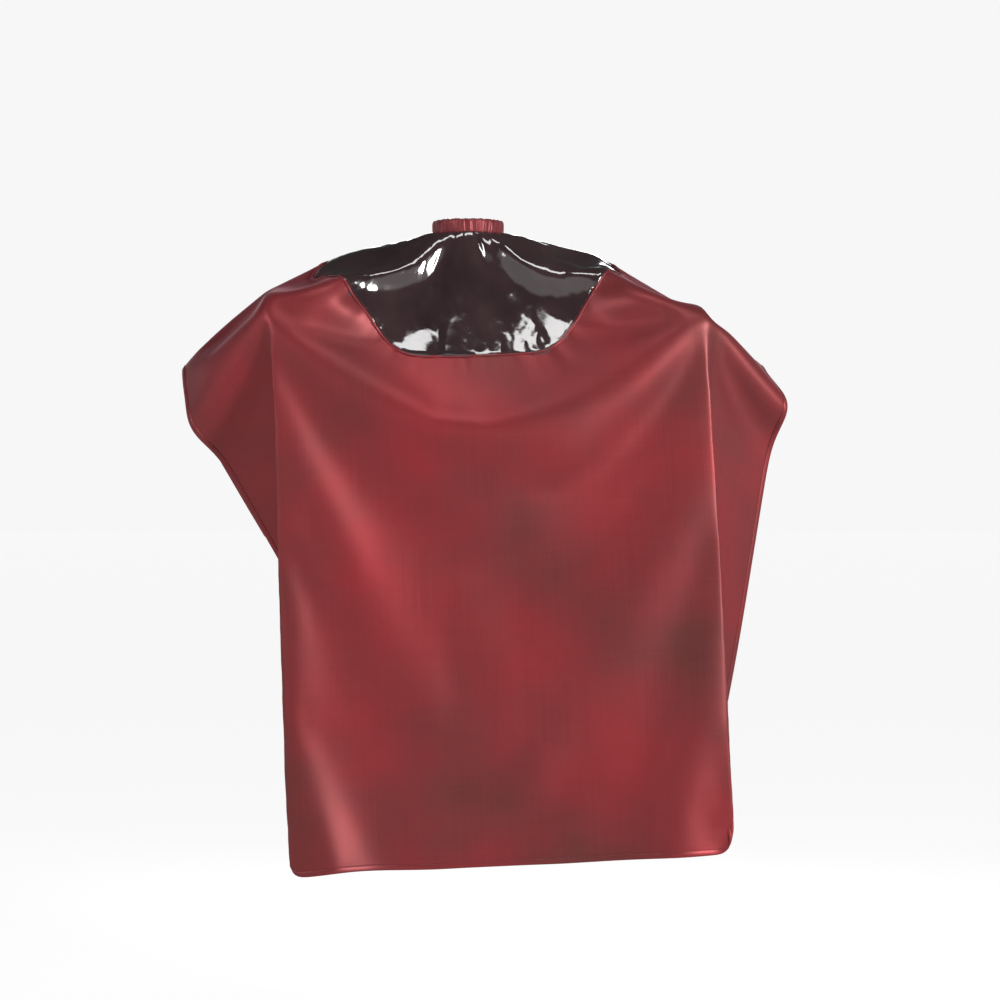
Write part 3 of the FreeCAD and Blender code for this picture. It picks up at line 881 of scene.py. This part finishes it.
def band_stitches():
    """The row that sews the yoke to the band, and the row along the band's top."""
    turn = np.linspace(BACK + 0.02, BACK + 2 * math.pi - 0.02, 700)
    out = round_neck(turn, 1.0, 0.0)
    made = []
    for name, height in (("band_stitches_low", -0.80), ("band_stitches_top", 0.78)):
        gathers = 0.0011 * np.maximum(ruche(turn, height * BAND_HALF, 2.0), -1) * (1 - 0.5 * height**2)
        points = round_neck(turn, BAND_RADIUS + bulge(turn, height) + gathers, height * BAND_HALF)
        made.append(stitches(name, points, out, 0.0028, 0.0021, 0.00045))
    return made


TAB_LOW, TAB_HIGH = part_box("closure_tab_outer")
TAB_OUTER = TAB_HIGH.y
TAB_INNER = TAB_OUTER - 0.0011
TAB_HALF = (TAB_HIGH.z - TAB_LOW.z) / 2
TAB_CORNER = 0.0065
# the tab's two ends, as angles round the neck: sewn down before the back, and free beyond it
TAB_ROOT = 0.115
TAB_END = BACK + math.asin(min(1.0, -TAB_LOW.x / TAB_OUTER))


def tab_radius(turn):
    """The middle of the tab's thickness: sewn down on the band at its root, then standing off it."""
    rise = smoothstep(BACK - 0.075, BACK + 0.005, turn)
    low = BAND_RADIUS + 0.0009
    return low + rise * ((TAB_OUTER + TAB_INNER) / 2 - low)


def tab():
    """The closing tab: a double strip of band cloth with a rounded end, stitched near its edge."""
    along, across = 90, 18
    turn = np.linspace(BACK - TAB_ROOT, TAB_END, along + 1)
    corner = TAB_CORNER
    from_end = (TAB_END - turn) * TAB_OUTER
    half = TAB_HALF - corner + np.sqrt(np.maximum(corner**2 - np.maximum(corner - from_end, 0) ** 2, 0))
    half = np.maximum(half, TAB_HALF - corner)
    wall = (TAB_OUTER - TAB_INNER) / 2
    lines = []
    for side in (1, -1):
        for i in range(across + 1):
            share = side * (-1 + 2 * i / across)
            groove = 0.00018 * np.exp(-(((abs(share) - 0.80) / 0.07) ** 2))
            crown = wall * (1 - abs(share) ** 10) ** 0.5 - groove
            lines.append(round_neck(turn, tab_radius(turn) + side * crown, share * half))
    made = sleeve("tab_cloth", lines)
    with_flat(made, np.repeat(turn * TAB_OUTER, len(lines)), np.stack(lines, 1)[:, :, 2])
    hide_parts("closure_tab_outer", "closure_tab_lining", "closure_tab_root")
    return smooth(made)


def tab_stitches():
    """One row just inside the tab's edge, out along one side, round the end and back."""
    inset = 0.0022
    half, radius = TAB_HALF - inset, TAB_CORNER - inset
    straight = np.linspace(BACK - 0.09, TAB_END - inset / TAB_OUTER - radius / TAB_OUTER, 80)
    bend = np.linspace(0, math.pi / 2, 10)[1:]
    turn = [*straight, *(straight[-1] + radius * np.sin(bend) / TAB_OUTER)]
    rise = [*np.full(len(straight), half), *(half - radius * (1 - np.cos(bend)))]
    turn, rise = np.array(turn + turn[::-1]), np.array(rise + [-z for z in rise[::-1]])
    far = tab_radius(turn) + (TAB_OUTER - TAB_INNER) / 2 - 0.0001
    points, out = round_neck(turn, far, rise), round_neck(turn, 1.0, 0.0)
    return stitches("tab_stitches", points, out, 0.0026, 0.0019, 0.00042)


# ---------------------------------------------------------------- materials


def new_material(name, **sockets):
    """A Principled material. A socket's name has _ for its spaces."""
    made = bpy.data.materials.new(name)
    made.use_nodes = True
    shader = made.node_tree.nodes["Principled BSDF"]
    for label, value in sockets.items():
        shader.inputs[label.replace("_", " ")].default_value = value
    return made


class Tree:
    """Short ways to add and join shader nodes."""

    def __init__(self, material):
        self.nodes, self.links = material.node_tree.nodes, material.node_tree.links
        self.shader = self.nodes["Principled BSDF"]

    def add(self, kind, inputs=None, **settings):
        node = self.nodes.new(kind)
        for key, value in settings.items():
            setattr(node, key, value)
        for key, value in (inputs or {}).items():
            if isinstance(value, bpy.types.NodeSocket):
                self.links.new(value, node.inputs[key])
            else:
                node.inputs[key].default_value = value
        return node

    def maths(self, operation, a, b=0.0):
        return self.add("ShaderNodeMath", {0: a, 1: b}, operation=operation).outputs[0]

    def place(self):
        """The place in the frame, in metres."""
        return self.add("ShaderNodeTexCoord").outputs["Object"]

    def flat(self, scale_u=1.0, scale_v=1.0):
        """The place in the flat cut, in metres, scaled."""
        place = self.add("ShaderNodeUVMap", uv_map="flat").outputs["UV"]
        return self.add("ShaderNodeVectorMath", {0: place, 1: (scale_u, scale_v, 1.0)},
                        operation="MULTIPLY").outputs[0]

    def noise(self, vector, scale, detail=2.0, roughness=0.5):
        return self.add("ShaderNodeTexNoise", {"Vector": vector, "Scale": scale, "Detail": detail,
                                               "Roughness": roughness}).outputs["Fac"]

    def spread(self, value, low, high):
        """Maps the middle of a noise to run from low to high."""
        return self.add("ShaderNodeMapRange", {"Value": value, "From Min": 0.3, "From Max": 0.7,
                                               "To Min": low, "To Max": high}).outputs["Result"]

    def mix(self, share, a, b):
        return self.add("ShaderNodeMix", {0: share, 6: a, 7: b}, data_type="RGBA").outputs[2]

    def bump(self, height, strength, distance, under=None):
        inputs = {"Height": height, "Strength": strength, "Distance": distance}
        if under is not None:
            inputs["Normal"] = under
        return self.add("ShaderNodeBump", inputs).outputs["Normal"]

    def feed(self, label, value):
        self.links.new(value, self.shader.inputs[label])


def weave_height(tree, pitch):
    """A plain weave: every thread passes over one and under the next."""
    split = tree.add("ShaderNodeSeparateXYZ", {0: tree.flat()})
    beat = math.pi / pitch
    warp = tree.maths("SINE", tree.maths("MULTIPLY", split.outputs[0], beat))
    weft = tree.maths("SINE", tree.maths("MULTIPLY", split.outputs[1], beat))
    return tree.maths("MULTIPLY", warp, weft)


def nylon(name, lit_tone, shaded_tone, roughness=0.44):
    """Burgundy nylon with a soft pink bloom and painted highlight and shade: broad random patches run from
    the lit tone to the darker, browner shaded tone.
    """
    made = new_material(name, Metallic=0.45, Specular_IOR_Level=0.45, Specular_Tint=(1.0, 0.72, 0.74, 1.0),
                        Sheen_Weight=0.12, Sheen_Roughness=0.45, Sheen_Tint=(1.0, 0.50, 0.62, 1.0))
    tree = Tree(made)
    # broad patches of painted highlight and painted shade, mixed into the cloth's colour below
    slow = tree.noise(tree.flat(), 3.2, 3.0)
    slub = tree.noise(tree.flat(260.0, 5.0), 1.0, 3.0, 0.6)
    pick = tree.noise(tree.flat(6.0, 240.0), 1.0, 2.0, 0.6)
    threads = tree.maths("ADD", tree.maths("MULTIPLY", slub, 0.6), tree.maths("MULTIPLY", pick, 0.4))
    base = tree.mix(tree.spread(slow, 0.05, 0.95), lit_tone, shaded_tone)
    paler = (0.24, 0.05, 0.055, 1.0)
    tree.feed("Base Color", tree.mix(tree.spread(threads, 0.0, 0.10), base, paler))
    tree.feed("Roughness", tree.spread(threads, roughness - 0.03, roughness + 0.04))
    fine = tree.bump(weave_height(tree, 0.00035), 0.10, 0.00006)
    tree.feed("Normal", tree.bump(threads, 0.12, 0.0003, fine))
    return made


def vinyl():
    """Wet-look black vinyl with a brown cast and fine creases."""
    made = new_material("vinyl", Specular_IOR_Level=0.6, Coat_Weight=0.4, Coat_Roughness=0.03, Coat_IOR=1.55)
    tree = Tree(made)
    cloud = tree.noise(tree.flat(), 9.0, 3.0)
    dark, light = (0.013, 0.007, 0.008, 1), (0.026, 0.015, 0.016, 1)
    tree.feed("Base Color", tree.mix(tree.spread(cloud, 0.0, 1.0), dark, light))
    tree.feed("Roughness", tree.spread(tree.noise(tree.flat(), 38.0, 4.0), 0.06, 0.13))
    creases = tree.noise(tree.flat(), 42.0, 4.0, 0.55)
    tree.feed("Normal", tree.bump(creases, 0.22, 0.0016))
    return made


def thread(name, colour):
    """Twisted sewing thread."""
    made = new_material(name, Specular_IOR_Level=0.4, Sheen_Weight=0.25)
    tree = Tree(made)
    place = tree.place()
    twist = tree.noise(place, 1800.0, 2.0)
    darker = tuple(0.6 * c for c in colour[:3]) + (1.0,)
    tree.feed("Base Color", tree.mix(tree.spread(twist, 0.0, 1.0), darker, colour))
    tree.feed("Roughness", tree.spread(twist, 0.45, 0.65))
    tree.feed("Normal", tree.bump(twist, 0.3, 0.0001))
    return made


def webbing(name, colour, pale):
    """Woven tape or braided elastic."""
    made = new_material(name, Specular_IOR_Level=0.3, Sheen_Weight=0.2)
    tree = Tree(made)
    place = tree.place()
    rib = tree.add("ShaderNodeTexWave", {"Vector": place, "Scale": 420.0, "Distortion": 1.5, "Detail": 1.0},
                   bands_direction="Z").outputs["Fac"]
    tree.feed("Base Color", tree.mix(rib, colour, pale))
    tree.feed("Roughness", tree.spread(tree.noise(place, 300.0), 0.6, 0.85))
    tree.feed("Normal", tree.bump(rib, 0.5, 0.0002))
    return made


def metal(name, colour, roughness):
    """Plated metal with fine handling marks."""
    made = new_material(name, Metallic=1.0)
    tree = Tree(made)
    place = tree.place()
    marks = tree.noise(place, 900.0, 4.0, 0.6)
    worn = tree.noise(place, 160.0, 3.0)
    darker = tuple(0.72 * c for c in colour[:3]) + (1.0,)
    tree.feed("Base Color", tree.mix(tree.spread(worn, 0.0, 0.6), colour, darker))
    tree.feed("Roughness", tree.spread(marks, roughness * 0.7, roughness * 1.5))
    tree.feed("Normal", tree.bump(marks, 0.06, 0.00005))
    return made


def paint(target, material):
    target.data.materials.clear()
    target.data.materials.append(material)


# ---------------------------------------------------------------- build

cloth = Surface(*drape())

body, body_area = body_sheet()
yoke, yoke_area = yoke_sheet()
edge = hem()
welt = seam_welt()
tape = seam_tape()
neckband = band()
strap = tab()

hem_line, hem_inward = hem_path()
hem_line = hem_line + hem_inward * (HEM_WIDTH - HEM_ROW)
hem_thread = cloth_stitches("hem_stitches", hem_line[:, 0], hem_line[:, 1], HEM_LIFT)
_, seam_u, seam_v, seam_out = seam_path(560)
seam_u, seam_v = seam_u - seam_out[:, 0] * SEAM_ROW, seam_v - seam_out[:, 1] * SEAM_ROW
seam_thread = cloth_stitches("seam_stitches", seam_u, seam_v, VINYL_LIFT + 0.0004)
band_low, band_top = band_stitches()
strap_thread = tab_stitches()

# the body cloth's tones: burgundy where painted light falls, brown as painted shade
burgundy, brown = (0.180, 0.010, 0.014, 1.0), (0.062, 0.014, 0.012, 1.0)
body_cloth = nylon("body_cloth", burgundy, brown)
# the band's tones: the lighter one as painted highlight, the darker as painted shade
band_cloth = nylon("band_cloth", (0.115, 0.011, 0.015, 1.0), (0.085, 0.012, 0.012, 1.0), 0.45)
vinyl_sheet = vinyl()
dark_thread = thread("dark_thread", (0.13, 0.022, 0.026, 1.0))
red_thread = thread("red_thread", (0.21, 0.030, 0.036, 1.0))
binding = webbing("binding", (0.030, 0.012, 0.013, 1.0), (0.060, 0.026, 0.028, 1.0))

for piece, material, slot in (
    (body, body_cloth, "body_cloth"), (edge, body_cloth, "body_cloth"), (welt, body_cloth, "body_cloth"),
    (yoke, vinyl_sheet, "vinyl"), (tape, binding, "binding"), (neckband, band_cloth, "band_cloth"),
    (hem_thread, dark_thread, "body_cloth"), (seam_thread, dark_thread, "binding"),
    (band_low, red_thread, "band_cloth"), (band_top, red_thread, "band_cloth"),
):
    paint(piece, material)
    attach(piece, CAPE)
for piece, material in ((strap, band_cloth), (strap_thread, red_thread)):
    paint(piece, material)
    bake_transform(piece)

finishes = {
    "plated_snap": metal("nickel", (0.74, 0.73, 0.71, 1.0), 0.20),
    "plated_brass": metal("plated_brass", (0.70, 0.66, 0.58, 1.0), 0.30),
    "spring_steel": metal("spring_steel", (0.62, 0.62, 0.63, 1.0), 0.25),
    "elastic": webbing("elastic", (0.62, 0.60, 0.57, 1.0), (0.80, 0.78, 0.75, 1.0)),
    "stay": webbing("stay", (0.56, 0.55, 0.52, 1.0), (0.72, 0.71, 0.68, 1.0)),
}
for subpart in frame["record"]["subparts"]:
    if subpart["material_slot"] in finishes:
        paint(frame["nodes"][subpart["node"]], finishes[subpart["material_slot"]])

# ---------------------------------------------------------------- stage


def aimed(name, data, place, target):
    made = in_scene(name, data)
    made.location = place
    made.rotation_euler = (Vector(target) - Vector(place)).to_track_quat("-Z", "Y").to_euler()
    return made


def softbox(name, place, target, wide, tall, power):
    """An area lamp, wide by tall metres, of this many watts."""
    lamp = bpy.data.lights.new(name, "AREA")
    lamp.shape = "RECTANGLE"
    lamp.size, lamp.size_y, lamp.energy = wide, tall, power
    return aimed(name, lamp, place, target)


FLOOR, FLOOR_HALF = -1.47, 80
FLOOR_GLOW = 0.95
# the lightness of the floor's glow and of the horizon, so that they meet
PALE = 0.93
VIEW_CENTRE = Vector((0.055, 0.0, -0.467))
VIEW_DISTANCE = 4.5

corners = [(-1, -1), (1, -1), (1, 1), (-1, 1)]
floor = new_object("floor", [(x * FLOOR_HALF, y * FLOOR_HALF, FLOOR) for x, y in corners], [(0, 1, 2, 3)])
paint(floor, new_material("floor", Base_Color=(0.15, 0.15, 0.15, 1.0), Roughness=0.9,
                          Emission_Color=(PALE, PALE, PALE, 1.0), Emission_Strength=FLOOR_GLOW))

world = bpy.data.worlds.new("studio")
scene.world = world
world.use_nodes = True
# pale round the horizon, dark overhead, so that only the lamps shine in the vinyl
nodes, links = world.node_tree.nodes, world.node_tree.links
aim = nodes.new("ShaderNodeTexCoord")
split = nodes.new("ShaderNodeSeparateXYZ")
fade = nodes.new("ShaderNodeMapRange")
for label, value in {"From Min": 0.20, "From Max": 0.40, "To Min": PALE, "To Max": 0.05}.items():
    fade.inputs[label].default_value = value
links.new(aim.outputs["Generated"], split.inputs["Vector"])
links.new(split.outputs["Z"], fade.inputs["Value"])
links.new(fade.outputs["Result"], nodes["Background"].inputs["Color"])

softbox("left_box", (-2.4, -1.9, 0.9), (0, 0, -0.4), 0.5, 1.2, 40)
softbox("right_box", (2.2, -2.4, 0.4), (0.25, 0, -0.55), 0.5, 1.2, 160)
softbox("back_box", (0.2, 2.8, 0.2), (0, 0, -0.4), 1.2, 1.2, 22)
softbox("top_box", (0.1, -1.3, 2.2), (0.05, 0, -0.3), 1.2, 0.6, 24)

scene.view_settings.view_transform = "Standard"
lens = bpy.data.cameras.new("camera")
lens.lens, lens.sensor_width = 94.0, 36.0
lens.clip_end = 300.0
eye = VIEW_CENTRE - Vector((0, VIEW_DISTANCE, 0))
scene.camera = aimed("camera", lens, eye, VIEW_CENTRE)
